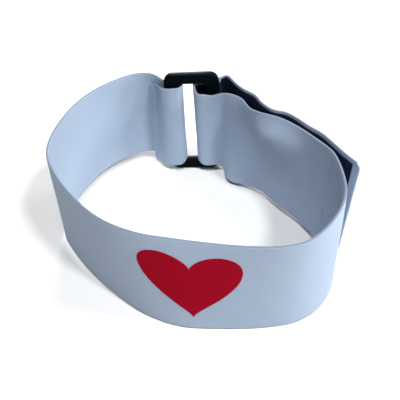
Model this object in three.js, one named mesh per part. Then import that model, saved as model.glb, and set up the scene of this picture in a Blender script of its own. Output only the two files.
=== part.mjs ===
// A white elastic armband that stands on its lower edge: one strap whose sewn end and loose end are
// folded round the two side bars of a plastic ring, fastened with a hook and a loop tape.
// Millimetres, +Z up, the emblem faces -Y.
import * as THREE from 'three';
import { mergeVertices } from 'three/addons/utils/BufferGeometryUtils.js';

// Driving dimensions
const strapThickness = 1.2;
const tapeThickness = 0.8;
const printThickness = 0.3;
const fitGap = 0.35;
const stepLength = 3.4;        // length of strap between two stations
const strapRows = 4;           // faces from edge to edge
const loopCentre = { x: 3.8, y: -1.2 };   // middle of the whole outline, from the middle of the loop

const ring = {
  x: 4.2, y: 51.6, turn: -3.5,            // middle of the ring, and its turn about Z in degrees
  width: 28.4, height: 58.8, thickness: 4,
  slotWidth: 13.6, slotHeight: 46.9, slotRise: 0.35,
  cornerRadius: 5, slotCornerRadius: 1.2, bevel: 1,
};

const emblem = { width: 40, height: 36, x: -1.2, middle: 0.5, columns: 28, loopRows: [11, 20] };
const strapWidth = 50;

// The middle of the strap's thickness, a row for each section: the top edge, then the low edge.
// Sewn end, inside the loop, from its cut edge to the left side bar
const sewnEnd = [
  // topX, topY, topZ, lowX, lowY, lowZ
  [-17.5, 60.2, 50.0, -20.0, 60.8, 2.1],
  [-16.7, 60.0, 50.0, -18.4, 59.6, 1.7],
  [-15.7, 59.3, 50.2, -16.5, 57.4, 1.6],
  [-13.6, 55.6, 51.0, -15.2, 54.0, 3.0],
  [-12.5, 52.1, 51.9, -13.6, 51.6, 3.6],
  [-11.2, 49.6, 52.3, -11.2, 49.6, 3.6],
  [-7.9, 48.3, 52.4, -8.0, 48.3, 4.0],
];

// From the left side bar round the left, the front and the right, and back to the right side bar
const loop = [
  // topX, topY, topZ, lowX, lowY, lowZ
  [-8.0, 55.6, 52.6, -8.0, 55.6, 6.0],
  [-11.7, 58.0, 53.6, -11.9, 57.6, 5.8],
  [-14.9, 60.8, 54.6, -15.4, 60.4, 5.5],
  [-20.0, 62.3, 55.1, -21.0, 62.6, 5.2],
  [-27.3, 61.4, 55.0, -27.8, 62.2, 5.0],
  [-36.3, 56.2, 54.8, -37.6, 57.2, 4.9],
  [-44.7, 49.0, 54.5, -46.3, 49.7, 4.6],
  [-52.2, 38.8, 54.1, -53.9, 38.5, 4.1],
  [-58.0, 24.8, 53.6, -59.8, 25.5, 3.6],
  [-61.3, 9.5, 53.0, -63.0, 10.0, 3.0],
  [-60.9, -2.0, 52.5, -62.9, -2.0, 2.5],
  [-56.1, -14.5, 52.0, -56.9, -13.5, 2.0],
  [-46.8, -30.0, 51.4, -46.4, -28.2, 1.4],
  [-34.3, -44.4, 50.8, -34.4, -41.2, 0.9],
  [-20.1, -53.2, 50.4, -20.7, -52.5, 0.5],
  [-6.7, -57.5, 50.3, -6.6, -59.2, 0.2],
  [6.4, -60.9, 50.1, 6.8, -61.3, 0.1],
  [19.0, -63.7, 50.0, 19.5, -62.3, 0.1],
  [32.0, -65.1, 50.1, 31.0, -62.3, 0.1],
  [41.5, -63.4, 50.0, 40.8, -60.9, 0.1],
  [49.2, -58.0, 50.3, 49.4, -56.5, 0.3],
  [56.2, -49.6, 50.6, 56.5, -49.0, 0.6],
  [61.2, -39.6, 51.0, 60.7, -40.5, 1.0],
  [62.8, -27.0, 51.5, 61.4, -28.0, 1.5],
  [61.5, -13.6, 52.0, 57.9, -13.2, 2.1],
  [55.8, -2.4, 52.5, 52.3, -1.2, 2.5],
  [49.7, 7.6, 52.9, 45.6, 8.2, 2.8],
  [43.6, 15.0, 52.9, 41.2, 16.2, 2.7],
  [38.0, 18.6, 52.8, 38.2, 21.6, 2.6],
  [33.8, 21.5, 52.7, 34.6, 25.4, 2.4],
  [31.7, 26.4, 52.6, 29.4, 29.4, 2.0],
  [29.8, 32.2, 52.5, 24.3, 31.6, 1.7],
  [26.6, 37.2, 52.2, 20.9, 34.8, 1.7],
  [22.3, 41.2, 51.6, 19.7, 41.0, 2.4],
  [18.4, 43.9, 50.3, 18.6, 45.8, 3.3],
  [13.8, 44.9, 48.8, 14.2, 46.0, 4.0],
];

// Loose end, outside the loop, from the right side bar to its free edge
const tail = [
  // topX, topY, topZ, lowX, lowY, lowZ
  [17.0, 55.3, 52.6, 17.0, 55.2, 5.4],
  [20.8, 56.1, 53.2, 20.6, 55.9, 5.1],
  [22.7, 55.5, 54.5, 22.0, 54.6, 4.8],
  [26.1, 49.9, 53.2, 25.2, 48.4, 4.2],
  [29.8, 42.4, 53.1, 27.2, 41.0, 3.8],
  [35.0, 35.8, 53.0, 30.6, 36.0, 3.6],
  [37.0, 28.9, 53.0, 36.2, 31.6, 3.4],
  [41.7, 20.9, 53.0, 41.0, 26.0, 3.2],
  [47.1, 18.2, 53.0, 44.8, 19.6, 3.0],
  [51.5, 12.7, 52.9, 49.0, 11.6, 2.8],
  [55.6, 5.9, 52.7, 52.8, 5.4, 2.6],
  [60.0, 0.3, 52.4, 57.2, -0.9, 2.4],
  [63.7, -8.0, 52.2, 61.4, -8.9, 2.2],
  [66.5, -15.2, 52.1, 64.2, -17.0, 2.0],
  [71.1, -24.4, 51.9, 67.0, -24.8, 1.9],
];

// The strap's two turns about the side bars, as halves of an ellipse in the ring's own plan: across
// is along the ring's width, through is along its thickness, and square is 1 for a true ellipse and
// less for one with fuller corners. Each edge starts at its front height and lifts into the slot.
const leftTurn = {
  acrossTop: -7.95, acrossLow: -8.45, through: -0.25, radiusAcross: 3.1, radiusThrough: 3.55,
  from: -90, to: 90, square: 1, steps: 10,
  topFront: 52.4, top: 52.6, lowFront: 4.2, low: 6.8,
};
const rightTurn = {
  acrossTop: 6.5, acrossLow: 6.8, through: -0.8, radiusAcross: 5.3, radiusThrough: 4.9,
  from: -90, to: -270, square: 0.65, steps: 12,
  topFront: 49.4, top: 52.6, lowFront: 4.4, low: 6.8,
};
const edgeLift = { low: [0, 0.4], top: [0.1, 0.5] };   // shares of a turn in which the edges lift

// Where each tape lies along the strap, in rows of the tables above, and across it from 0 to 1;
// high is given at both ends
const loopTape = { from: ['loop', 23.7], to: ['tail', 0.6], low: 0.05, high: [0.95, 0.95] };
const hookTape = { from: ['tail', 0.7], to: ['tail', 13.63], low: 0.04, high: [0.985, 0.965] };

const white = new THREE.MeshStandardMaterial({ color: 0xe9eef6, roughness: 0.85, metalness: 0 });
const black = new THREE.MeshStandardMaterial({ color: 0x0c0e12, roughness: 0.95, metalness: 0 });
const plastic = new THREE.MeshStandardMaterial({ color: 0x090a0d, roughness: 0.4, metalness: 0 });
const red = new THREE.MeshStandardMaterial({ color: 0xc4142c, roughness: 0.6, metalness: 0 });

function ringPoint(across, through) {
  const turn = THREE.MathUtils.degToRad(ring.turn);
  return [
    ring.x + across * Math.cos(turn) - through * Math.sin(turn),
    ring.y + across * Math.sin(turn) + through * Math.cos(turn),
  ];
}

// Rows of a fold about a side bar, written as the tables are
function turnRows(fold) {
  const rows = [];
  const full = (share) => Math.sign(share) * Math.abs(share) ** fold.square;
  for (let i = 0; i <= fold.steps; i++) {
    const angle = THREE.MathUtils.degToRad(fold.from + (fold.to - fold.from) * i / fold.steps);
    const across = fold.radiusAcross * full(Math.cos(angle));
    const through = fold.through + fold.radiusThrough * full(Math.sin(angle));
    const height = (front, behind, [start, end]) => THREE.MathUtils.lerp(
      front, behind, THREE.MathUtils.smoothstep(i / fold.steps, start, end),
    );
    rows.push([
      ...ringPoint(fold.acrossTop + across, through), height(fold.topFront, fold.top, edgeLift.top),
      ...ringPoint(fold.acrossLow + across, through), height(fold.lowFront, fold.low, edgeLift.low),
    ]);
  }
  return rows;
}

// The whole strap as one list of rows, and the row at which each stretch starts
function strapPath() {
  const starts = {};
  const rows = [];
  const stretches = {
    sewnEnd, leftTurn: turnRows(leftTurn), loop, rightTurn: turnRows(rightTurn), tail,
  };
  for (const [name, stretch] of Object.entries(stretches)) {
    starts[name] = rows.length;
    rows.push(...stretch);
  }
  const top = new THREE.CatmullRomCurve3(rows.map((r) => new THREE.Vector3(r[0], r[1], r[2])));
  const low = new THREE.CatmullRomCurve3(rows.map((r) => new THREE.Vector3(r[3], r[4], r[5])));
  return { starts, rows, top, low };
}
const path = strapPath();

// A point of the strap's middle surface: row is a place along it, up goes from 0 at the low edge to 1
function strapPoint(row, up) {
  const t = THREE.MathUtils.clamp(row / (path.rows.length - 1), 0, 1);
  return path.low.getPoint(t).lerp(path.top.getPoint(t), up);
}

// The direction out of the strap's face that is outside on the loop
function strapNormal(row, up) {
  const [reach, lift] = [0.15, 0.1];
  const along = strapPoint(row + reach, up).sub(strapPoint(row - reach, up));
  const rise = strapPoint(row, up + lift).sub(strapPoint(row, up - lift));
  return along.cross(rise).normalize();
}

// Places along the strap, close to stepLength apart, and at least two steps to each row
function stations(from, to) {
  const places = [];
  let row = from;
  while (row < to) {
    const next = Math.min(Math.floor(row + 1e-6) + 1, to);
    const length = strapPoint(row, 0.5).distanceTo(strapPoint(next, 0.5));
    const steps = Math.max(1, Math.round(length / stepLength));
    for (let i = 0; i < steps; i++) places.push(row + (next - row) * i / steps);
    row = next;
  }
  places.push(to);
  return places;
}

// A closed solid between two offsets from the strap's middle surface.
// columns lists the places along the strap; low(i) and high(i) bound it across the strap.
function layer(columns, low, high, inner, outer, rows) {
  const positions = [];
  const index = [];
  const at = (i, j, side) => (i * (rows + 1) + j) * 2 + side;
  columns.forEach((row, i) => {
    for (let j = 0; j <= rows; j++) {
      const up = low(i) + (high(i) - low(i)) * j / rows;
      const middle = strapPoint(row, up);
      const normal = strapNormal(row, up);
      for (const offset of [inner, outer]) {
        positions.push(...middle.clone().addScaledVector(normal, offset).toArray());
      }
    }
  });
  const quad = (a, b, c, d) => index.push(a, b, c, a, c, d);
  const last = columns.length - 1;
  for (let i = 0; i < last; i++) {
    for (let j = 0; j < rows; j++) {
      quad(at(i, j, 1), at(i + 1, j, 1), at(i + 1, j + 1, 1), at(i, j + 1, 1));
      quad(at(i, j, 0), at(i, j + 1, 0), at(i + 1, j + 1, 0), at(i + 1, j, 0));
    }
    quad(at(i, 0, 0), at(i + 1, 0, 0), at(i + 1, 0, 1), at(i, 0, 1));
    quad(at(i, rows, 0), at(i, rows, 1), at(i + 1, rows, 1), at(i + 1, rows, 0));
  }
  for (let j = 0; j < rows; j++) {
    quad(at(0, j, 0), at(0, j, 1), at(0, j + 1, 1), at(0, j + 1, 0));
    quad(at(last, j, 0), at(last, j + 1, 0), at(last, j + 1, 1), at(last, j, 1));
  }
  const geometry = new THREE.BufferGeometry();
  geometry.setAttribute('position', new THREE.Float32BufferAttribute(positions, 3));
  geometry.setIndex(index);
  return geometry;
}

function band() {
  const half = strapThickness / 2;
  const columns = stations(0, path.rows.length - 1);
  return layer(columns, () => 0, () => 1, -half, half, strapRows);
}

// A tape lies on the strap's outside face, which the folds turn to the inside of the loose end
function tape(place) {
  const [from, to] = [place.from, place.to].map(([stretch, row]) => path.starts[stretch] + row);
  const base = strapThickness / 2 + fitGap;
  const columns = stations(from, to);
  const high = (i) => place.high[0] + (place.high[1] - place.high[0]) * i / (columns.length - 1);
  return layer(columns, () => place.low, high, base, base + tapeThickness, strapRows);
}

function buckle() {
  const outline = new THREE.Shape();
  roundedRectangle(outline, ring.width, ring.height, ring.cornerRadius, 0);
  const slot = new THREE.Path();
  roundedRectangle(slot, ring.slotWidth, ring.slotHeight, ring.slotCornerRadius, ring.slotRise);
  outline.holes.push(slot);
  const geometry = new THREE.ExtrudeGeometry(outline, {
    depth: ring.thickness - 2 * ring.bevel, curveSegments: 4,
    bevelThickness: ring.bevel, bevelSize: ring.bevel, bevelOffset: -ring.bevel, bevelSegments: 2,
  });
  geometry.translate(0, 0, -ring.thickness / 2 + ring.bevel);
  return geometry.rotateX(Math.PI / 2);
}

function roundedRectangle(outline, width, height, radius, rise) {
  const [x, y] = [width / 2 - radius, height / 2 - radius];
  outline.absarc(x, rise + y, radius, 0, Math.PI / 2);
  outline.absarc(-x, rise + y, radius, Math.PI / 2, Math.PI);
  outline.absarc(-x, rise - y, radius, Math.PI, Math.PI * 1.5);
  outline.absarc(x, rise - y, radius, Math.PI * 1.5, Math.PI * 2);
  outline.closePath();
}

// The row along the strap's front at which its middle has the given X, found by halving
function rowAtX(x) {
  const halvings = 30;
  let [low, high] = emblem.loopRows.map((row) => path.starts.loop + row);
  for (let i = 0; i < halvings; i++) {
    const middle = (low + high) / 2;
    if (strapPoint(middle, 0.5).x < x) low = middle;
    else high = middle;
  }
  return low;
}

// A heart printed on the front, from the curve a^2 + (b - |a|^(2/3))^2 = 1, whose lowest point is
// at b = -1 and whose lobes reach b = 1.51. Its two outer points are cut to a short edge.
function heart() {
  const [curveLow, curveTop, widest] = [-1, 1.51, 0.995];
  const places = [];
  for (let i = 0; i <= emblem.columns; i++) {
    places.push(-Math.cos(Math.PI * i / emblem.columns) * widest);
  }
  const scale = emblem.height / (curveTop - curveLow) / strapWidth;
  const middle = (curveLow + curveTop) / 2;
  const edge = (a, side) => emblem.middle
    + scale * (Math.abs(a) ** (2 / 3) + side * Math.sqrt(1 - a * a) - middle);
  const columns = places.map((a) => rowAtX(emblem.x + a * emblem.width / 2));
  const base = strapThickness / 2 + fitGap;
  return layer(
    columns, (i) => edge(places[i], -1), (i) => edge(places[i], 1), base, base + printThickness, 2,
  );
}

function mesh(name, geometry, material) {
  geometry.deleteAttribute('normal');
  geometry.deleteAttribute('uv');
  const merged = mergeVertices(geometry);
  merged.computeVertexNormals();
  const object = new THREE.Mesh(merged, material);
  object.name = name;
  return object;
}

const armband = new THREE.Group();
armband.position.set(-loopCentre.x, -loopCentre.y, 0);
armband.add(mesh('band', band(), white));
armband.add(mesh('loop_tape', tape(loopTape), black));
armband.add(mesh('hook_tape', tape(hookTape), black));
armband.add(mesh('emblem', heart(), red));

const ringMesh = mesh('buckle', buckle(), plastic);
ringMesh.position.set(ring.x, ring.y, ring.height / 2);
ringMesh.rotation.z = THREE.MathUtils.degToRad(ring.turn);
armband.add(ringMesh);

export default armband;
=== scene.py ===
"""A white elastic armband with a red heart print, a black plastic ring and a hook-and-loop end."""
import math

import bmesh
import bpy
import numpy as np
from mathutils import Matrix, Vector


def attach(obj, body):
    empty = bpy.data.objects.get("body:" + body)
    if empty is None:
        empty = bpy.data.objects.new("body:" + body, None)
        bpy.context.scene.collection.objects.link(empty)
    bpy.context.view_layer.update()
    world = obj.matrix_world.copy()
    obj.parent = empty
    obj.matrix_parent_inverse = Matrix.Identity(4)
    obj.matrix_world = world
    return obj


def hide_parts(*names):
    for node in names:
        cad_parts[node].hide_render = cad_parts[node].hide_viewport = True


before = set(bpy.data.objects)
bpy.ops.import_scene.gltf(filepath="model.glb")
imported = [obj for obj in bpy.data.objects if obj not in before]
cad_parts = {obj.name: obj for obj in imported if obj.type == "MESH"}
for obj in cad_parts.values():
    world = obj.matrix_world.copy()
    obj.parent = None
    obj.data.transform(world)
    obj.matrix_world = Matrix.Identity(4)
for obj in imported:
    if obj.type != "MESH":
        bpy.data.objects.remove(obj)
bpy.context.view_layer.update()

MM = 0.001

# Sizes of the frame, in millimetres
STRAP_WIDTH = 50.0
STRAP_THICKNESS = 1.0
LOOP_CENTRE = np.array([3.8, -1.2, 0.0])
RING = dict(x=4.2, y=51.6, turn=-3.5, width=28.4, height=58.8, thickness=4.0,
            slot_width=13.6, slot_height=46.9, slot_rise=0.35, corner=5.0, slot_corner=1.2, bevel=1.0)
HEART = dict(width=40.0, height=36.0, x=-1.2, middle=0.5, loop_rows=(11, 20), gap=0.03, thickness=0.09)
TAPE_GAP = 0.08         # between the strap's face and a tape
EDGE_SHADE_WIDTH = 0.3         # width of the band at each edge of the strap that is painted darker, as painted shade on its rims

# The middle of the strap's thickness, a row for each section: top edge x, y, z, then low edge x, y, z
SEWN_END = [
    (-17.5, 60.2, 50.0, -20.0, 60.8, 2.1),
    (-16.7, 60.0, 50.0, -18.4, 59.6, 1.7),
    (-15.7, 59.3, 50.2, -16.5, 57.4, 1.6),
    (-13.6, 55.6, 51.0, -15.2, 54.0, 3.0),
    (-12.5, 52.1, 51.9, -13.6, 51.6, 3.6),
    (-11.2, 49.6, 52.3, -11.2, 49.6, 3.6),
    (-7.9, 48.3, 52.4, -8.0, 48.3, 4.0),
]
LOOP = [
    (-8.0, 55.6, 52.6, -8.0, 55.6, 6.0),
    (-11.7, 58.0, 53.6, -11.9, 57.6, 5.8),
    (-14.9, 60.8, 54.6, -15.4, 60.4, 5.5),
    (-20.0, 62.3, 55.1, -21.0, 62.6, 5.2),
    (-27.3, 61.4, 55.0, -27.8, 62.2, 5.0),
    (-36.3, 56.2, 54.8, -37.6, 57.2, 4.9),
    (-44.7, 49.0, 54.5, -46.3, 49.7, 4.6),
    (-52.2, 38.8, 54.1, -53.9, 38.5, 4.1),
    (-58.0, 24.8, 53.6, -59.8, 25.5, 3.6),
    (-61.3, 9.5, 53.0, -63.0, 10.0, 3.0),
    (-60.9, -2.0, 52.5, -62.9, -2.0, 2.5),
    (-56.1, -14.5, 52.0, -56.9, -13.5, 2.0),
    (-46.8, -30.0, 51.4, -46.4, -28.2, 1.4),
    (-34.3, -44.4, 50.8, -34.4, -41.2, 0.9),
    (-20.1, -53.2, 50.4, -20.7, -52.5, 0.5),
    (-6.7, -57.5, 50.3, -6.6, -59.2, 0.2),
    (6.4, -60.9, 50.1, 6.8, -61.3, 0.1),
    (19.0, -63.7, 50.0, 19.5, -62.3, 0.1),
    (32.0, -65.1, 50.1, 31.0, -62.3, 0.1),
    (41.5, -63.4, 50.0, 40.8, -60.9, 0.1),
    (49.2, -58.0, 50.3, 49.4, -56.5, 0.3),
    (56.2, -49.6, 50.6, 56.5, -49.0, 0.6),
    (61.2, -39.6, 51.0, 60.7, -40.5, 1.0),
    (62.8, -27.0, 51.5, 61.4, -28.0, 1.5),
    (61.5, -13.6, 52.0, 57.9, -13.2, 2.1),
    (55.8, -2.4, 52.5, 52.3, -1.2, 2.5),
    (49.7, 7.6, 52.9, 45.6, 8.2, 2.8),
    (43.6, 15.0, 52.9, 41.2, 16.2, 2.7),
    (38.0, 18.6, 52.8, 38.2, 21.6, 2.6),
    (33.8, 21.5, 52.7, 34.6, 25.4, 2.4),
    (31.7, 26.4, 52.6, 29.4, 29.4, 2.0),
    (29.8, 32.2, 52.5, 24.3, 31.6, 1.7),
    (26.6, 37.2, 52.2, 20.9, 34.8, 1.7),
    (22.3, 41.2, 51.6, 19.7, 41.0, 2.4),
    (18.4, 43.9, 50.3, 18.6, 45.8, 3.3),
    (13.8, 44.9, 48.8, 14.2, 46.0, 4.0),
]
TAIL = [
    (17.0, 55.3, 52.6, 17.0, 55.2, 5.4),
    (20.8, 56.1, 53.2, 20.6, 55.9, 5.1),
    (22.7, 55.5, 54.5, 22.0, 54.6, 4.8),
    (26.1, 49.9, 53.2, 25.2, 48.4, 4.2),
    (29.8, 42.4, 53.1, 27.2, 41.0, 3.8),
    (35.0, 35.8, 53.0, 30.6, 36.0, 3.6),
    (37.0, 28.9, 53.0, 36.2, 31.6, 3.4),
    (41.7, 20.9, 53.0, 41.0, 26.0, 3.2),
    (47.1, 18.2, 53.0, 44.8, 19.6, 3.0),
    (51.5, 12.7, 52.9, 49.0, 11.6, 2.8),
    (55.6, 5.9, 52.7, 52.8, 5.4, 2.6),
    (60.0, 0.3, 52.4, 57.2, -0.9, 2.4),
    (63.7, -8.0, 52.2, 61.4, -8.9, 2.2),
    (66.5, -15.2, 52.1, 64.2, -17.0, 2.0),
    (71.1, -24.4, 51.9, 67.0, -24.8, 1.9),
]

# The turns about the side bars, in the ring's own plan. square is 1 for an ellipse and less for
# fuller corners. Each edge starts at its front height and lifts into the slot.
LEFT_TURN = dict(across_top=-7.95, across_low=-8.45, through=-0.25, radius_across=3.1,
                 radius_through=3.55, start=-90, end=90, square=1.0, steps=10,
                 top_front=52.4, top=52.6, low_front=4.2, low=6.8)
RIGHT_TURN = dict(across_top=6.5, across_low=6.8, through=-0.8, radius_across=5.3,
                  radius_through=4.9, start=-90, end=-270, square=0.65, steps=12,
                  top_front=49.4, top=52.6, low_front=4.4, low=6.8)
EDGE_LIFT = dict(low=(0.0, 0.4), top=(0.1, 0.5))    # shares of a turn in which the edges lift

# Places along the strap, as (stretch, row), and across it from 0 at the low edge to 1
LOOP_TAPE = dict(start=("loop", 23.7), end=("tail", 0.63), low=0.05, high=(0.95, 0.95), ground=0.5,
                 thread_sunk=0.11)
HOOK_TAPE = dict(start=("tail", 0.67), end=("tail", 13.63), low=0.04, high=(0.985, 0.965), ground=0.45,
                 thread_sunk=0.0)

# What stands on the tapes, in millimetres: its spacing, how deep its feet stand in the ground, how far
# it strays from its place and how far it keeps from the edges
LOOPS = dict(along=1.15, across=1.1, sunk=0.05, jitter=0.25, margin=0.5)
HOOKS = dict(along=1.5, across=1.25, sunk=0.03, jitter=0.04, margin=0.9)

# Stitch lines. inset and trim are shares of the strap's width, the rest is in millimetres
STITCH_STEP = 2.9
TAPE_SEAM = dict(inset=0.035, trim=0.05, row_end=1.5, end_line=1.6)

# How the strap's middle surface is smoothed, in millimetres. start and end are rows of the loop
JOIN_BLUR = 1.3
TIGHT_TURN = 12.0
CUT_END = 4.0
RIPPLE = dict(start=6, end=34.5, fade_in=15.0, fade_out=8.0, blur=13.0)

# Small forms of the cloth, in millimetres: run is along the strap, height across it, and reach is how
# far a form spreads from there
SEAM = dict(run=2.0, reach=0.8, pull=0.10, dimple=0.06, hole_step=2.6)
SWELL = dict(run=354, reach=12, height=39, reach_up=8, reach_down=18, depth=3.8)
CREASE = dict(run=368, height=42, slope=0.25, width=2.0)
BEFORE_CREASE = dict(run=363, reach=9, height=38, reach_up=8, depth=1.8)
PAST_CREASE = dict(run=375, reach=9, rise=0.5, roll=1.6, roll_height=47, roll_reach=9)
TAPE_BEND = dict(run=320.5, height=30, slope=0.09, reach=7.0, rise=0.45, fade=8)
SLACK = dict(depth=0.10, length=9.0, sway=1.3, sway_length=16.0)
WRINKLE = dict(depth=0.03, length=2.3, width=3.1)
LOOSE_CORNER = 2.2
END_REACH = 7.0         # how far from its ends the strap's grid is moved to shape them

# Soft lights aimed at the armband: degrees round from +X, degrees up, size in metres, watts
LIGHT_DISTANCE = 1.4
LIGHT_AIM = (0, 0, 0.02)
LIGHTS = [
    ("key, front right", 312, 52, 0.18, 14.5),
    ("right", 350, 50, 0.36, 11.0),
    ("low right", 345, 20, 0.30, 6.0),
    ("back right", 30, 38, 0.4, 6.0),
    ("back", 90, 18, 0.4, 16.0),
    ("above front", 270, 75, 0.4, 17.0),
]
BACKDROP_SEEN, BACKDROP_LIGHT = 0.97, 0.01
FLOOR_RADIUS = 1.05
FLOOR_DROP = 0.0002     # the floor lies a little lower, so that no edge of the cloth cuts through it

# Camera: place in millimetres, degrees down and rolled, lens in millimetres
CAMERA = dict(place=(0.8, -196.8, 188.5), down=40.7, roll=-3.89, lens=48.8)


# The strap's path

def smooth_step(share):
    share = np.clip(share, 0, 1)
    return share * share * (3 - 2 * share)


def turn_rows(fold):
    """Rows of a fold about a side bar, written as the tables are."""
    rows = []
    turn = math.radians(RING["turn"])
    steps = fold["steps"]

    def full(share):
        return math.copysign(abs(share) ** fold["square"], share)

    for i in range(steps + 1):
        angle = math.radians(fold["start"] + (fold["end"] - fold["start"]) * i / steps)
        through = fold["through"] + fold["radius_through"] * full(math.sin(angle))
        row = []
        for edge in ("top", "low"):
            across = fold[f"across_{edge}"] + fold["radius_across"] * full(math.cos(angle))
            start, end = EDGE_LIFT[edge]
            lift = smooth_step((i / steps - start) / (end - start))
            row += [RING["x"] + across * math.cos(turn) - through * math.sin(turn),
                    RING["y"] + across * math.sin(turn) + through * math.cos(turn),
                    fold[f"{edge}_front"] + (fold[edge] - fold[f"{edge}_front"]) * lift]
        rows.append(tuple(row))
    return rows


def spline(points, places):
    """Centripetal Catmull-Rom through points, read at places counted in points."""
    first = points[0] * 2 - points[1]
    last = points[-1] * 2 - points[-2]
    p = np.vstack([first, points, last])
    k = np.minimum(places.astype(int), len(points) - 2)
    w = (places - k)[:, None]
    knots = [p[k], p[k + 1], p[k + 2], p[k + 3]]
    gaps = [np.maximum(np.linalg.norm(b - a, axis=1), 1e-6)[:, None] ** 0.5
            for a, b in zip(knots, knots[1:])]
    p0, p1, p2, p3 = knots
    d0, d1, d2 = gaps
    t1 = ((p1 - p0) / d0 - (p2 - p0) / (d0 + d1) + (p2 - p1) / d1) * d1
    t2 = ((p2 - p1) / d1 - (p3 - p1) / (d1 + d2) + (p3 - p2) / d2) * d1
    c2 = 3 * (p2 - p1) - 2 * t1 - t2
    c3 = 2 * (p1 - p2) + t1 + t2
    return p1 + t1 * w + c2 * w ** 2 + c3 * w ** 3


class Strap:
    """The strap's middle surface, read at a place along it and a height across it."""

    spacing = 0.6

    def __init__(self):
        stretches = dict(sewn_end=SEWN_END, left_turn=turn_rows(LEFT_TURN), loop=LOOP,
                         right_turn=turn_rows(RIGHT_TURN), tail=TAIL)
        self.starts, rows = {}, []
        for name, stretch in stretches.items():
            self.starts[name] = len(rows)
            rows += stretch
        table = np.array(rows)
        self.last = len(rows) - 1
        fine = np.linspace(0, self.last, self.last * 60 + 1)
        middle = (spline(table[:, :3], fine) + spline(table[:, 3:], fine)) / 2
        run = np.concatenate([[0], np.cumsum(np.linalg.norm(np.diff(middle, axis=0), axis=1))])
        self.length = run[-1]
        self.run = np.linspace(0, self.length, int(self.length / self.spacing) + 1)
        self.rows = np.interp(self.run, run, fine)
        self.top = self.soften(spline(table[:, :3], self.rows))
        self.low = self.soften(spline(table[:, 3:], self.rows))
        self.ripple = self.edge_ripple()

    def blur(self, line, sigma):
        reach = int(sigma * 3 / self.spacing)
        kernel = np.exp(-0.5 * (np.arange(-reach, reach + 1) * self.spacing / sigma) ** 2)
        kernel /= kernel.sum()
        padded = np.vstack([line[:1].repeat(reach, 0), line, line[-1:].repeat(reach, 0)])
        return np.stack([np.convolve(padded[:, a], kernel, "valid") for a in range(3)], 1)

    def soften(self, line):
        """Eases the joins between rows, but not at the tight turns and at the ends."""
        middle_row = 5
        turns = sum(np.exp(-((self.run - self.run_at(name, middle_row)) / TIGHT_TURN) ** 4)
                    for name in ("left_turn", "right_turn"))
        ends = np.minimum(self.run, self.length - self.run) / CUT_END
        share = np.clip(1 - turns, 0, 1) * np.clip(ends, 0, 1)
        return line + (self.blur(line, JOIN_BLUR) - line) * share[:, None]

    def edge_ripple(self):
        """Half of what the two edges ripple against each other, on the loop alone."""
        lean = (self.top - self.low) / 2
        lean[:, 2] = 0
        start, end = self.run_at("loop", RIPPLE["start"]), self.run_at("loop", RIPPLE["end"])
        share = (np.clip((self.run - start) / RIPPLE["fade_in"], 0, 1)
                 * np.clip((end - self.run) / RIPPLE["fade_out"], 0, 1))
        return (lean - self.blur(lean, RIPPLE["blur"])) * share[:, None]

    def run_at(self, stretch, row):
        """Millimetres along the strap at a row of a stretch."""
        return np.interp(self.starts[stretch] + row, self.rows, self.run)

    def surface(self, run, up):
        """Points in millimetres. The ripples of an edge die out within a third of the width."""
        index = np.clip(run / self.length * (len(self.run) - 1), 0, len(self.run) - 1.001)
        k = index.astype(int)
        w = (index - k)[..., None]
        top, low, ripple = (line[k] * (1 - w) + line[k + 1] * w
                            for line in (self.top, self.low, self.ripple))
        u = np.asarray(up)[..., None]
        side = 2 * u - 1
        return low + (top - low) * u + ripple * (side ** 3 - side)

    def frame_at(self, run, up):
        """Point, normal out of the loop's outside face and direction along the strap."""
        run, up = np.broadcast_arrays(np.asarray(run, float), np.asarray(up, float))
        reach, lift = 1.3, 0.02
        along = self.surface(run + reach, up) - self.surface(run - reach, up)
        rise = self.surface(run, up + lift) - self.surface(run, up - lift)
        normal = np.cross(along, rise)
        normal /= np.linalg.norm(normal, axis=-1, keepdims=True)
        along = along / np.linalg.norm(along, axis=-1, keepdims=True)
        return self.surface(run, up), normal, along

    def at(self, run, up, offset=0.0):
        """Points in metres, in the frame of the model."""
        point, normal, _ = self.frame_at(run, up)
        return (point + normal * np.asarray(offset)[..., None] - LOOP_CENTRE) * MM


strap = Strap()


# Modelling helpers

def deselect():
    if bpy.context.object and bpy.context.object.mode != "OBJECT":
        bpy.ops.object.mode_set(mode="OBJECT")
    bpy.ops.object.select_all(action="DESELECT")


def only(obj):
    deselect()
    obj.select_set(True)
    bpy.context.view_layer.objects.active = obj


def apply_modifiers(obj):
    only(obj)
    for modifier in list(obj.modifiers):
        bpy.ops.object.modifier_apply(modifier=modifier.name)


def place_in_mesh(obj):
    only(obj)
    bpy.ops.object.transform_apply(location=True, rotation=True, scale=True)


def shade(obj, angle=40):
    only(obj)
    bpy.ops.object.shade_smooth_by_angle(angle=math.radians(angle))


def finish_piece(obj, material, replaces=()):
    obj.data.materials.clear()
    obj.data.materials.append(material)
    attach(obj, "root")
    if replaces:
        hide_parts(*replaces)
    return obj


def grid_on_strap(name, columns, rows, place, offset=lambda run, up: 0.0):
    """A grid whose x runs along the strap and y across it. place turns 0..1, 0..1 into
    (millimetres along, 0 to 1 across); the UV map holds millimetres along and across."""
    deselect()
    bpy.ops.mesh.primitive_grid_add(x_subdivisions=columns, y_subdivisions=rows, size=1)
    obj = bpy.context.object
    obj.name = obj.data.name = name
    mesh = obj.data
    flat = np.empty(len(mesh.vertices) * 3)
    mesh.vertices.foreach_get("co", flat)
    flat = flat.reshape(-1, 3)
    run, up = place(flat[:, 0] + 0.5, flat[:, 1] + 0.5)
    points = strap.at(run, up, offset(run, up))
    mesh.vertices.foreach_set("co", points.ravel())
    corner = np.empty(len(mesh.loops), int)
    mesh.loops.foreach_get("vertex_index", corner)
    uv = np.stack([run[corner], up[corner] * STRAP_WIDTH], 1)
    mesh.uv_layers[0].name = "Weave"
    mesh.uv_layers[0].data.foreach_set("uv", uv.ravel())
    mesh.update()
    return obj


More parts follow.
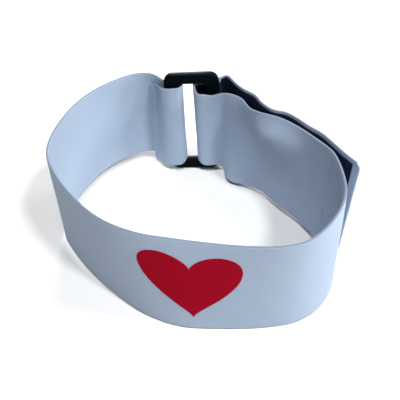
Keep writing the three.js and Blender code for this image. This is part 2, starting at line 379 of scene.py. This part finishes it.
def thicken(obj, thickness, offset, bevel=0.0, segments=2):
    wall = obj.modifiers.new("Wall", "SOLIDIFY")
    wall.thickness = thickness * MM
    wall.offset = offset
    wall.use_even_offset = False
    if bevel:
        round_edge = obj.modifiers.new("Round edge", "BEVEL")
        round_edge.width = bevel * MM
        round_edge.segments = segments
        round_edge.limit_method = "ANGLE"
        round_edge.angle_limit = math.radians(50)
        round_edge.harden_normals = False
    apply_modifiers(obj)


def copies(name, pattern, places):
    """One mesh of many copies of a small pattern. places holds (origin, x, y, z axes)."""
    verts, faces = pattern
    verts = np.array(verts)
    origin, ax, ay, az = places
    points = (origin[:, None] + verts[None, :, 0, None] * ax[:, None]
              + verts[None, :, 1, None] * ay[:, None] + verts[None, :, 2, None] * az[:, None])
    count = len(verts)
    all_faces = [tuple(v + i * count for v in face) for i in range(len(origin)) for face in faces]
    mesh = bpy.data.meshes.new(name)
    mesh.from_pydata(points.reshape(-1, 3).tolist(), [], all_faces)
    mesh.update()
    obj = bpy.data.objects.new(name, mesh)
    bpy.context.collection.objects.link(obj)
    return obj


def pattern_of(obj):
    """Vertices and faces of a small modelled object, which is then removed."""
    verts = [tuple(v.co) for v in obj.data.vertices]
    faces = [tuple(p.vertices) for p in obj.data.polygons]
    bpy.data.objects.remove(obj, do_unlink=True)
    return verts, faces


# Node groups and materials

def new_group(name, inputs, outputs):
    group = bpy.data.node_groups.new(name, "ShaderNodeTree")
    for label, value in inputs:
        socket = group.interface.new_socket(name=label, in_out="INPUT", socket_type="NodeSocketFloat")
        socket.default_value = value
    for label in outputs:
        group.interface.new_socket(name=label, in_out="OUTPUT", socket_type="NodeSocketFloat")
    return group, group.nodes.new("NodeGroupInput"), group.nodes.new("NodeGroupOutput")


def math_node(tree, operation, a, b=None, clamp=False):
    node = tree.nodes.new("ShaderNodeMath")
    node.operation = operation
    node.use_clamp = clamp
    for slot, value in enumerate((a, b)):
        if value is None:
            continue
        if isinstance(value, (int, float)):
            node.inputs[slot].default_value = value
        else:
            tree.links.new(value, node.inputs[slot])
    return node.outputs[0]


def cosine_wave(tree, place, pitch, shift=None):
    """0 to 1, once for each pitch."""
    turns = math_node(tree, "DIVIDE", place, pitch)
    if shift is not None:
        turns = math_node(tree, "ADD", turns, shift)
    wave = math_node(tree, "COSINE", math_node(tree, "MULTIPLY", turns, 2 * math.pi))
    return math_node(tree, "MULTIPLY_ADD", wave, 0.5)


def weave_group():
    """Fine ribs along the strap with crosswise picks that alternate from rib to rib, and a mask of
    a thin band at both edges, where shade is painted. Reads millimetres along and across from the UV map."""
    group, given, out = new_group(
        "Woven ribs", [("Rib Pitch", 0.6), ("Pick Pitch", 0.8), ("Unevenness", 0.3)],
        ["Height", "Slub", "Edge Shade"])
    uv = group.nodes.new("ShaderNodeUVMap")
    uv.uv_map = "Weave"
    split = group.nodes.new("ShaderNodeSeparateXYZ")
    group.links.new(uv.outputs["UV"], split.inputs[0])
    slub = group.nodes.new("ShaderNodeTexNoise")
    stretch = group.nodes.new("ShaderNodeMapping")
    stretch.inputs["Scale"].default_value = (0.35, 1.6, 1.0)
    group.links.new(uv.outputs["UV"], stretch.inputs["Vector"])
    group.links.new(stretch.outputs["Vector"], slub.inputs["Vector"])
    slub.inputs["Scale"].default_value = 1.0
    slub.inputs["Detail"].default_value = 3.0
    drift = math_node(group, "MULTIPLY", slub.outputs["Fac"], given.outputs["Unevenness"])
    ribs = cosine_wave(group, split.outputs["Y"], given.outputs["Rib Pitch"], drift)
    number = math_node(group, "FLOOR", math_node(group, "DIVIDE", split.outputs["Y"],
                                                 given.outputs["Rib Pitch"]))
    half = math_node(group, "MULTIPLY", number, 0.5)
    picks = cosine_wave(group, split.outputs["X"], given.outputs["Pick Pitch"], half)
    height = math_node(group, "ADD", math_node(group, "MULTIPLY", ribs, 0.6),
                       math_node(group, "MULTIPLY", picks, 0.4))
    group.links.new(height, out.inputs["Height"])
    group.links.new(slub.outputs["Fac"], out.inputs["Slub"])
    from_middle = math_node(group, "ABSOLUTE", math_node(group, "SUBTRACT", split.outputs["Y"],
                                                         STRAP_WIDTH / 2))
    into_edge_shade = math_node(group, "SUBTRACT", from_middle, STRAP_WIDTH / 2 - EDGE_SHADE_WIDTH)
    sharpness = 4.0
    edge_shade = math_node(group, "MULTIPLY", into_edge_shade, sharpness, clamp=True)
    group.links.new(edge_shade, out.inputs["Edge Shade"])
    return group


def grain_group():
    """Fine speckle and slow drift, on Object coordinates."""
    group, given, out = new_group("Grain", [("Fine Scale", 900.0), ("Broad Scale", 30.0)],
                                  ["Fine", "Broad"])
    place = group.nodes.new("ShaderNodeTexCoord")
    for label, detail in (("Fine", 4.0), ("Broad", 2.0)):
        noise = group.nodes.new("ShaderNodeTexNoise")
        noise.inputs["Detail"].default_value = detail
        group.links.new(place.outputs["Object"], noise.inputs["Vector"])
        group.links.new(given.outputs[f"{label} Scale"], noise.inputs["Scale"])
        group.links.new(noise.outputs["Fac"], out.inputs[label])
    return group


WEAVE = weave_group()
GRAIN = grain_group()


class Finish:
    """A material with a Principled shader, and short calls for what feeds it."""

    def __init__(self, name, **sockets):
        self.material = bpy.data.materials.new(name)
        self.material.use_nodes = True
        self.tree = self.material.node_tree
        self.shader = self.tree.nodes["Principled BSDF"]
        for label, value in sockets.items():
            self.shader.inputs[label.replace("_", " ").title().replace("Ior", "IOR")].default_value = value

    def group(self, group, **values):
        node = self.tree.nodes.new("ShaderNodeGroup")
        node.node_tree = group
        for label, value in values.items():
            node.inputs[label.replace("_", " ").title()].default_value = value
        return node.outputs

    def mix(self, factor, low, high):
        node = self.tree.nodes.new("ShaderNodeMix")
        node.data_type = "RGBA"
        for socket, value in (("A", low), ("B", high)):
            target = [s for s in node.inputs if s.name == socket and s.type == "RGBA"][0]
            if isinstance(value, tuple):
                target.default_value = (*value, 1.0)
            else:
                self.tree.links.new(value, target)
        self.tree.links.new(factor, node.inputs["Factor"])
        return [s for s in node.outputs if s.type == "RGBA"][0]

    def span(self, value, low, high):
        node = self.tree.nodes.new("ShaderNodeMapRange")
        node.inputs["To Min"].default_value = low
        node.inputs["To Max"].default_value = high
        self.tree.links.new(value, node.inputs["Value"])
        return node.outputs["Result"]

    def colour(self, output):
        self.tree.links.new(output, self.shader.inputs["Base Color"])

    def roughness(self, output):
        self.tree.links.new(output, self.shader.inputs["Roughness"])

    def bump(self, height, distance, strength=1.0, under=None):
        node = self.tree.nodes.new("ShaderNodeBump")
        node.inputs["Distance"].default_value = distance * MM
        node.inputs["Strength"].default_value = strength
        self.tree.links.new(height, node.inputs["Height"])
        if under is not None:
            self.tree.links.new(under, node.inputs["Normal"])
        self.tree.links.new(node.outputs["Normal"], self.shader.inputs["Normal"])
        return node.outputs["Normal"]


def elastic_finish():
    """Blue-white woven elastic: matte, with painted shade in the grooves and on a thin band along
    each edge, and faintly uneven."""
    f = Finish("white elastic", sheen_weight=0.06, sheen_roughness=0.5, specular_ior_level=0.2)
    weave = f.group(WEAVE, rib_pitch=0.62, pick_pitch=0.78, unevenness=0.35)
    grain = f.group(GRAIN, fine_scale=2200.0, broad_scale=22.0)
    # painted shade: the colour is darker where the weave is low, in the grooves between ribs and picks
    thread = f.mix(weave["Height"], (0.276, 0.340, 0.438), (0.319, 0.391, 0.497))
    cloth = f.mix(f.span(grain["Broad"], 0.0, 0.35), thread, (0.281, 0.349, 0.450))
    # painted shade: the thin band along each edge, the rims included, is painted much darker, so that no
    # bright rim shows
    f.colour(f.mix(weave["Edge Shade"], cloth, (0.130, 0.164, 0.214)))
    f.roughness(f.span(weave["Slub"], 0.78, 0.92))
    under = f.bump(grain["Fine"], 0.03, 0.5)
    f.bump(weave["Height"], 0.07, 0.8, under)
    return f.material


def print_finish():
    """Red ink on the elastic: it fills the grooves, and breaks up a little on the ribs."""
    f = Finish("red print", specular_ior_level=0.01)
    weave = f.group(WEAVE, rib_pitch=0.62, pick_pitch=0.78, unevenness=0.35)
    grain = f.group(GRAIN, fine_scale=1500.0, broad_scale=60.0)
    ink = f.mix(weave["Height"], (0.255, 0.0013, 0.011), (0.32, 0.0030, 0.016))
    f.colour(f.mix(f.span(grain["Broad"], 0.0, 0.5), ink, (0.27, 0.0018, 0.012)))
    f.roughness(f.span(grain["Fine"], 0.5, 0.75))
    f.bump(weave["Height"], 0.05, 0.7)
    return f.material


def tape_finish(name, colour, dusty):
    """Black woven tape ground."""
    f = Finish(name, sheen_weight=0.02, sheen_roughness=0.4, specular_ior_level=0.08)
    weave = f.group(WEAVE, rib_pitch=0.9, pick_pitch=0.5, unevenness=0.2)
    grain = f.group(GRAIN, fine_scale=1800.0, broad_scale=70.0)
    f.colour(f.mix(f.span(grain["Fine"], 0.0, 0.8), colour, dusty))
    f.roughness(f.span(weave["Height"], 0.7, 0.95))
    f.bump(weave["Height"], 0.12, 1.0)
    return f.material


def pile_finish(name, low, high, rough):
    """Hooks or loops: black nylon, each strand a little different."""
    f = Finish(name, sheen_weight=0.02, sheen_roughness=0.4, specular_ior_level=0.12)
    grain = f.group(GRAIN, fine_scale=700.0, broad_scale=90.0)
    f.colour(f.mix(grain["Fine"], low, high))
    f.roughness(f.span(grain["Broad"], rough - 0.1, rough + 0.1))
    f.bump(grain["Fine"], 0.03, 0.6)
    return f.material


def plastic_finish():
    """Black moulded plastic: satin, with a fine spark texture and faint handling marks."""
    f = Finish("black plastic", specular_ior_level=0.035)
    grain = f.group(GRAIN, fine_scale=2600.0, broad_scale=45.0)
    f.colour(f.mix(grain["Broad"], (0.0005, 0.0018, 0.0030), (0.0010, 0.0032, 0.0054)))
    f.roughness(f.span(grain["Broad"], 0.36, 0.52))
    f.bump(grain["Fine"], 0.02, 0.5)
    return f.material


def thread_finish(name, colour):
    f = Finish(name, sheen_weight=0.05, specular_ior_level=0.2)
    grain = f.group(GRAIN, fine_scale=1600.0, broad_scale=120.0)
    dark = tuple(c * 0.8 for c in colour)
    f.colour(f.mix(grain["Fine"], dark, colour))
    f.roughness(f.span(grain["Broad"], 0.6, 0.8))
    f.bump(grain["Fine"], 0.05, 0.8)
    return f.material


ELASTIC = elastic_finish()
PRINT = print_finish()
LOOP_GROUND = tape_finish("black loop tape", (0.010, 0.013, 0.023), (0.020, 0.027, 0.050))
HOOK_GROUND = tape_finish("black hook tape", (0.003, 0.007, 0.020), (0.008, 0.017, 0.048))
LOOP_STRANDS = pile_finish("black loop pile", (0.012, 0.016, 0.030), (0.028, 0.038, 0.070), 0.8)
HOOK_STRANDS = pile_finish("black hooks", (0.0025, 0.007, 0.020), (0.006, 0.020, 0.062), 0.45)
PLASTIC = plastic_finish()
WHITE_THREAD = thread_finish("white thread", (0.29, 0.355, 0.455))


# The strap

def behind(run):
    """The place on the layer behind the sewn end that lies next to a place on the sewn end."""
    point = strap.frame_at(run, 0.5)[0]
    there = np.linspace(strap.run_at("loop", 1), strap.run_at("loop", 6), 200)
    return there[np.argmin(np.linalg.norm(strap.frame_at(there, 0.5)[0] - point, axis=1))]


SEAM_BEHIND = behind(SEAM["run"])


def hill(value, middle, reach):
    return np.exp(-((value - middle) / reach) ** 2)


def seam_dimple(run, height):
    """Stitches pull the two sewn layers together, a little more at every needle hole."""
    pull = SEAM["pull"] + SEAM["dimple"] * np.sin(height * 2 * np.pi / SEAM["hole_step"])
    return pull * (hill(run, SEAM["run"], SEAM["reach"]) - hill(run, SEAM_BEHIND, SEAM["reach"]))


def pinch(run, height):
    """The wall at the back right swells inwards, and so leans back above the swell. Towards the ring
    it ends in a crease, past which the top edge itself rolls inwards."""
    crease = CREASE["run"] + (height - CREASE["height"]) * CREASE["slope"]
    past = 0.5 + 0.5 * np.tanh((run - crease) / CREASE["width"])
    swell = np.where(height > SWELL["height"], hill(height, SWELL["height"], SWELL["reach_up"]),
                     hill(height, SWELL["height"], SWELL["reach_down"]))
    before = (hill(run, BEFORE_CREASE["run"], BEFORE_CREASE["reach"])
              * hill(height, BEFORE_CREASE["height"], BEFORE_CREASE["reach_up"]))
    roll = hill(height, PAST_CREASE["roll_height"], PAST_CREASE["roll_reach"])
    beyond = (hill(run, PAST_CREASE["run"], PAST_CREASE["reach"])
              * (PAST_CREASE["rise"] * swell - PAST_CREASE["roll"] * roll))
    return (past * beyond - SWELL["depth"] * hill(run, SWELL["run"], SWELL["reach"]) * swell
            - BEFORE_CREASE["depth"] * (1 - past) * before)


def tape_bend(run, height):
    """The loop tape's end stiffens the wall, which bends along it."""
    bend = TAPE_BEND["run"] + (height - TAPE_BEND["height"]) * TAPE_BEND["slope"]
    return (TAPE_BEND["rise"] * np.exp(-np.abs(run - bend) / TAPE_BEND["reach"])
            * np.clip(height / TAPE_BEND["fade"], 0, 1))


def slack(run, height):
    """The cloth isn't quite flat anywhere between its edges."""
    sway = SLACK["sway"] * np.sin(height / SLACK["sway_length"])
    wave = SLACK["depth"] * np.sin(run / SLACK["length"] + sway)
    wrinkle = WRINKLE["depth"] * np.sin(run / WRINKLE["length"] + height / WRINKLE["width"])
    return (wave + wrinkle) * np.sin(np.pi * height / STRAP_WIDTH)


def strap_relief(run, up):
    """Small forms that stand off the strap's middle surface, in millimetres."""
    height = up * STRAP_WIDTH
    return (seam_dimple(run, height) + pinch(run, height) + tape_bend(run, height)
            + slack(run, height))


def ends_of_strap(x, y):
    """Places on the strap: the loose end has rounded corners and the sewn end a slightly wavy cut."""
    run = x * strap.length
    inward = np.clip(LOOSE_CORNER - np.minimum(y, 1 - y) * STRAP_WIDTH, 0, LOOSE_CORNER)
    recess = LOOSE_CORNER - np.sqrt(LOOSE_CORNER ** 2 - inward ** 2)
    run = run - recess * smooth_step(1 - (strap.length - run) / END_REACH)
    wave = 0.35 + 0.22 * np.sin(y * 21.0) + 0.12 * np.sin(y * 47.0 + 1.0)
    return run + wave * smooth_step(1 - run / END_REACH), y


def make_strap():
    columns, rows = 480, 44
    obj = grid_on_strap("strap_elastic", columns, rows, ends_of_strap, strap_relief)
    thicken(obj, STRAP_THICKNESS, 0.0, bevel=0.32, segments=3)
    shade(obj, 60)
    finish_piece(obj, ELASTIC, ["band"])
    return obj


# The print

def heart_place(x, y):
    """The heart a^2 + (b - |a|^(2/3))^2 = 1 laid on the strap's front. It stops just short of its
    sideways ends, where it has no height."""
    share_kept = 0.9995
    a = np.clip((x - 0.5) * 2, -1, 1) * share_kept
    first, last = HEART["loop_rows"]
    front = np.linspace(strap.run_at("loop", first), strap.run_at("loop", last), 400)
    front_x = strap.frame_at(front, 0.5)[0][:, 0]
    run = np.interp(HEART["x"] + a * HEART["width"] / 2, front_x, front)
    curve_low, curve_top = -1.0, 1.51
    scale = HEART["height"] / (curve_top - curve_low) / STRAP_WIDTH
    b = np.abs(a) ** (2 / 3) + (y * 2 - 1) * np.sqrt(1 - a * a)
    return run, HEART["middle"] + scale * (b - (curve_low + curve_top) / 2)


def make_print():
    base = STRAP_THICKNESS / 2 + HEART["gap"]
    columns, rows = 150, 70
    obj = grid_on_strap("heart_print", columns, rows, heart_place,
                        lambda run, up: base + strap_relief(run, up))
    thicken(obj, HEART["thickness"], 1.0)
    shade(obj, 60)
    return finish_piece(obj, PRINT, ["emblem"])


# The tapes

def tape_runs(tape):
    return strap.run_at(*tape["start"]), strap.run_at(*tape["end"])


def make_tape(name, tape, material, node):
    start, end = tape_runs(tape)
    cell = 1.2
    columns, rows = int((end - start) / cell), 30
    base = STRAP_THICKNESS / 2 + TAPE_GAP

    def place(x, y):
        high = tape["high"][0] + (tape["high"][1] - tape["high"][0]) * x
        return start + (end - start) * x, tape["low"] + (high - tape["low"]) * y

    obj = grid_on_strap(name, columns, rows, place, lambda run, up: base + strap_relief(run, up))
    thicken(obj, tape["ground"], 1.0, bevel=0.12)
    shade(obj, 60)
    finish_piece(obj, material, [node])
    return obj


def hook_pattern():
    """One moulded hook: a post that bends over to one side, in millimetres."""
    sides, radius, foot = 5, 0.11, 0.16
    deselect()
    bpy.ops.mesh.primitive_cylinder_add(vertices=sides, radius=radius, depth=foot,
                                        end_fill_type="NGON", location=(0, 0, foot / 2))
    obj = bpy.context.object
    bpy.ops.object.transform_apply(location=True, rotation=False, scale=False)
    bpy.ops.object.mode_set(mode="EDIT")
    bpy.ops.mesh.select_all(action="DESELECT")
    mesh = bmesh.from_edit_mesh(obj.data)
    top = max(mesh.faces, key=lambda f: f.calc_center_median().z)
    for face in mesh.faces:
        face.select = face == top
    bmesh.update_edit_mesh(obj.data)
    bends = [((0, 0, 0.16), 0, 0.9), ((0.05, 0, 0.12), 35, 0.9),
             ((0.13, 0, 0.03), 70, 0.85), ((0.06, 0, -0.10), 50, 0.6)]
    for move, turn, size in bends:
        bpy.ops.mesh.extrude_region_move(TRANSFORM_OT_translate={"value": move})
        mesh = bmesh.from_edit_mesh(obj.data)
        centre = sum((v.co for v in mesh.verts if v.select), Vector()) / sides
        spin = Matrix.Rotation(math.radians(turn), 3, "Y")
        for v in mesh.verts:
            if v.select:
                v.co = centre + (spin @ (v.co - centre)) * size
        bmesh.update_edit_mesh(obj.data)
    bpy.ops.mesh.select_all(action="SELECT")
    bpy.ops.mesh.normals_make_consistent(inside=False)
    bpy.ops.object.mode_set(mode="OBJECT")
    return pattern_of(obj)


def loop_pattern():
    """One loop of pile: a thin strand that rises, turns over and comes down, in millimetres."""
    deselect()
    bpy.ops.mesh.primitive_torus_add(major_segments=8, minor_segments=3, major_radius=0.24,
                                     minor_radius=0.035, rotation=(math.pi / 2, 0, 0))
    obj = bpy.context.object
    obj.scale = (1.0, 1.0, 1.5)
    obj.location = (0, 0, 0.16)
    bpy.ops.object.transform_apply(location=True, rotation=True, scale=True)
    return pattern_of(obj)


def strew(tape, rows):
    """Origins and axes, in metres, of what stands on a tape's face."""
    start, end = tape_runs(tape)
    margin, jitter = rows["margin"], rows["jitter"]
    base = STRAP_THICKNESS / 2 + TAPE_GAP + tape["ground"] - rows["sunk"]
    along = np.arange(start + margin, end - margin, rows["along"])
    low, high = tape["low"] * STRAP_WIDTH + margin, min(tape["high"]) * STRAP_WIDTH - margin
    across = np.arange(low, high, rows["across"])
    run, height = (grid.ravel() for grid in np.meshgrid(along, across, indexing="ij"))
    rng = np.random.default_rng(5)
    run = run + rng.uniform(-jitter, jitter, len(run))
    height = height + rng.uniform(-jitter, jitter, len(run))
    up = height / STRAP_WIDTH
    point, normal, forward = strap.frame_at(run, up)
    origin = (point + normal * (base + strap_relief(run, up))[:, None] - LOOP_CENTRE) * MM
    turn = rng.uniform(-1, 1, len(run)) * jitter * 4
    side = np.cross(normal, forward)
    ax = forward * np.cos(turn)[:, None] + side * np.sin(turn)[:, None]
    ay = np.cross(normal, ax)
    return origin, ax * MM, ay * MM, normal * MM


def make_tapes():
    make_tape("tape_loop", LOOP_TAPE, LOOP_GROUND, "loop_tape")
    make_tape("tape_hook", HOOK_TAPE, HOOK_GROUND, "hook_tape")
    pile = copies("loop_pile", loop_pattern(), strew(LOOP_TAPE, LOOPS))
    shade(pile, 60)
    finish_piece(pile, LOOP_STRANDS)
    hooks = copies("hook_rows", hook_pattern(), strew(HOOK_TAPE, HOOKS))
    shade(hooks, 60)
    finish_piece(hooks, HOOK_STRANDS)


# Stitches

def stitch_pattern():
    """One stitch of two-ply thread, its ends sunk into the cloth, in millimetres along X."""
    deselect()
    bpy.ops.mesh.primitive_uv_sphere_add(segments=8, ring_count=8, radius=1.0,
                                         rotation=(0, math.pi / 2, 0))
    obj = bpy.context.object
    bpy.ops.object.transform_apply(location=False, rotation=True, scale=False)
    half_length, half_width, half_height = 1.15, 0.19, 0.17
    rise, sag = 0.06, 0.14
    for v in obj.data.vertices:
        x, y, z = v.co
        v.co = (x * half_length, y * half_width, z * half_height + rise - sag * x * x)
    return pattern_of(obj)


STITCH = stitch_pattern()


def stitches_across(name, run, side, low=0.04, high=0.96):
    """A stitch line from edge to edge. side is 1 on the strap's outside face, -1 on its inside."""
    up = np.arange(low * STRAP_WIDTH, high * STRAP_WIDTH, STITCH_STEP) / STRAP_WIDTH
    runs = np.full(len(up), float(run))
    return stitch_line(name, runs, up, side, across=True)


def stitch_line(name, runs, up, side, across, sunk=0.0):
    """One piece of stitches, at places along and across the strap, laid across it or along it."""
    point, normal, forward = strap.frame_at(runs, up)
    lift = side * (STRAP_THICKNESS / 2 - sunk) + strap_relief(runs, up)
    origin = (point + normal * lift[:, None] - LOOP_CENTRE) * MM
    out = normal * side
    along = np.cross(out, forward) if across else forward
    other = np.cross(out, along)
    obj = copies(name, STITCH, (origin, along * MM, other * MM, out * MM))
    shade(obj, 60)
    return finish_piece(obj, WHITE_THREAD)


def make_seam():
    """The stitch line that holds the sewn end, seen from both sides."""
    stitches_across("seam_inside", SEAM["run"], 1)
    stitches_across("seam_outside", SEAM_BEHIND, 1)


def make_tape_stitches():
    """Stitch lines along the tapes' edges, on the strap's bare face."""
    inset, trim = TAPE_SEAM["inset"], TAPE_SEAM["trim"]
    row_end, end_line = TAPE_SEAM["row_end"], TAPE_SEAM["end_line"]
    for name, tape in (("loop", LOOP_TAPE), ("hook", HOOK_TAPE)):
        start, end = tape_runs(tape)
        low, high = tape["low"], min(tape["high"])
        runs = np.arange(start + row_end, end - row_end, STITCH_STEP)
        for edge, up in (("low", low + inset), ("high", high - inset)):
            stitch_line(f"tape_seam_{name}_{edge}", runs, np.full(len(runs), up), -1, across=False,
                        sunk=tape["thread_sunk"])
        for edge, run in (("start", start + end_line), ("end", end - end_line)):
            stitches_across(f"tape_seam_{name}_{edge}", run, -1, low + trim, high - trim)


# The ring

def select_in_mesh(obj, kind, wanted):
    """In edit mode, selects the vertices, edges or faces whose middle passes a test."""
    bpy.ops.mesh.select_mode(type=kind)
    bpy.ops.mesh.select_all(action="DESELECT")
    mesh = bmesh.from_edit_mesh(obj.data)
    for element in dict(VERT=mesh.verts, EDGE=mesh.edges, FACE=mesh.faces)[kind]:
        if kind == "VERT":
            middle = element.co
        else:
            middle = sum((v.co for v in element.verts), Vector()) / len(element.verts)
        if wanted(middle, element):
            element.select_set(True)
    mesh.select_flush_mode()
    bmesh.update_edit_mesh(obj.data)


def make_ring():
    """A block with rounded corners and a slot through it, its edges rounded, with the thin parting
    line that a mould leaves round the middle of its walls. Modelled in millimetres."""
    width, height, deep = RING["width"], RING["height"], RING["thickness"]
    deselect()
    bpy.ops.mesh.primitive_cube_add(size=1, location=(0, 0, 0))
    obj = bpy.context.object
    obj.name = obj.data.name = "ring_buckle"
    obj.scale = (width, deep, height)
    place_in_mesh(obj)
    bpy.ops.object.mode_set(mode="EDIT")

    nearly_half = 0.49

    def is_corner(middle, edge):
        return abs(middle.x) > width * nearly_half and abs(middle.z) > height * nearly_half

    select_in_mesh(obj, "EDGE", is_corner)
    bpy.ops.mesh.bevel(offset=RING["corner"], offset_type="OFFSET", segments=8, affect="EDGES")
    # the slot: both faces inset, the inset drawn in to the slot's size, and the two joined through
    inset = RING["corner"] - RING["slot_corner"]
    select_in_mesh(obj, "FACE", lambda middle, face: abs(middle.y) > deep * nearly_half)
    bpy.ops.mesh.inset(thickness=inset, use_even_offset=True)
    inner_width, inner_height = width / 2 - inset, height / 2 - inset
    side_in = inner_width - RING["slot_width"] / 2
    end_in = inner_height - RING["slot_height"] / 2

    def inside(v):
        return abs(v.x) < inner_width + 0.01 and abs(v.z) < inner_height + 0.01

    for side in (-1, 1):
        select_in_mesh(obj, "VERT", lambda v, _: inside(v) and v.x * side > 0)
        bpy.ops.transform.translate(value=(-side * side_in, 0, 0))
    for end in (-1, 1):
        select_in_mesh(obj, "VERT", lambda v, _: inside(v) and v.z * end > 0)
        bpy.ops.transform.translate(value=(0, 0, -end * end_in + RING["slot_rise"]))
    select_in_mesh(obj, "FACE", lambda middle, face: abs(middle.y) > deep * nearly_half
                   and abs(middle.x) < 1 and abs(middle.z) < 1)
    bpy.ops.mesh.bridge_edge_loops()
    parting, ridge = 0.16, 0.07
    for place in (-parting, 0, parting):
        bpy.ops.mesh.select_all(action="SELECT")
        bpy.ops.mesh.bisect(plane_co=(0, place, 0), plane_no=(0, 1, 0))
    bpy.ops.mesh.select_all(action="SELECT")
    bpy.ops.mesh.normals_make_consistent(inside=False)
    select_in_mesh(obj, "VERT", lambda v, _: abs(v.y) < parting / 4)
    bpy.ops.transform.shrink_fatten(value=ridge)
    bpy.ops.object.mode_set(mode="OBJECT")
    edge = obj.modifiers.new("Round edges", "BEVEL")
    edge.width = RING["bevel"]
    edge.segments = 5
    edge.limit_method = "ANGLE"
    edge.angle_limit = math.radians(60)
    apply_modifiers(obj)
    obj.scale = (MM, MM, MM)
    obj.rotation_euler = (0, 0, math.radians(RING["turn"]))
    obj.location = (Vector((RING["x"], RING["y"], height / 2)) - Vector(LOOP_CENTRE)) * MM
    place_in_mesh(obj)
    shade(obj, 30)
    return finish_piece(obj, PLASTIC, ["buckle"])


# Stage

def make_stage():
    deselect()
    bpy.ops.mesh.primitive_circle_add(vertices=96, radius=FLOOR_RADIUS, fill_type="NGON",
                                      location=(0, 0, -FLOOR_DROP))
    floor = bpy.context.object
    floor.name = "floor"
    material = bpy.data.materials.new("pale floor")
    material.use_nodes = True
    shader = material.node_tree.nodes["Principled BSDF"]
    shader.inputs["Base Color"].default_value = (0.63, 0.635, 0.64, 1)
    shader.inputs["Roughness"].default_value = 0.9
    shader.inputs["Specular IOR Level"].default_value = 0.1
    floor.data.materials.append(material)


def make_lights():
    """Soft round lights, all as far from the armband and turned towards it."""
    for name, turn, rise, size, power in LIGHTS:
        turn, rise = math.radians(turn), math.radians(rise)
        out = Vector((math.cos(turn) * math.cos(rise), math.sin(turn) * math.cos(rise),
                      math.sin(rise)))
        data = bpy.data.lights.new(name, "AREA")
        data.shape = "DISK"
        data.size = size
        data.energy = power
        light = bpy.data.objects.new(name, data)
        light.location = Vector(LIGHT_AIM) + out * LIGHT_DISTANCE
        light.rotation_euler = (-out).to_track_quat("-Z", "Y").to_euler()
        bpy.context.collection.objects.link(light)
    bpy.context.scene.view_settings.view_transform = "Standard"


def make_backdrop():
    """A white surround that is seen, but lights the armband hardly at all."""
    world = bpy.data.worlds.new("Studio")
    world.use_nodes = True
    tree = world.node_tree
    faint = tree.nodes["Background"]
    faint.inputs["Color"].default_value = (1.0, 1.0, 1.0, 1)
    faint.inputs["Strength"].default_value = BACKDROP_LIGHT
    white = tree.nodes.new("ShaderNodeBackground")
    white.inputs["Color"].default_value = (1.0, 1.0, 1.0, 1)
    white.inputs["Strength"].default_value = BACKDROP_SEEN
    ray = tree.nodes.new("ShaderNodeLightPath")
    choose = tree.nodes.new("ShaderNodeMixShader")
    tree.links.new(ray.outputs["Is Camera Ray"], choose.inputs["Fac"])
    tree.links.new(faint.outputs["Background"], choose.inputs[1])
    tree.links.new(white.outputs["Background"], choose.inputs[2])
    tree.links.new(choose.outputs["Shader"], tree.nodes["World Output"].inputs["Surface"])
    bpy.context.scene.world = world


def make_camera():
    data = bpy.data.cameras.new("camera")
    data.sensor_width = 36.0
    data.lens = CAMERA["lens"]
    data.clip_start = 0.01
    data.clip_end = 20.0
    camera = bpy.data.objects.new("camera", data)
    tilt = Matrix.Rotation(math.radians(90 - CAMERA["down"]), 3, "X")
    roll = Matrix.Rotation(math.radians(CAMERA["roll"]), 3, "Z")
    camera.rotation_euler = (tilt @ roll).to_euler()
    camera.location = Vector(CAMERA["place"]) * MM
    bpy.context.collection.objects.link(camera)
    bpy.context.scene.camera = camera


make_ring()
make_strap()
make_tapes()
make_print()
make_seam()
make_tape_stitches()
make_stage()
make_lights()
make_backdrop()
make_camera()
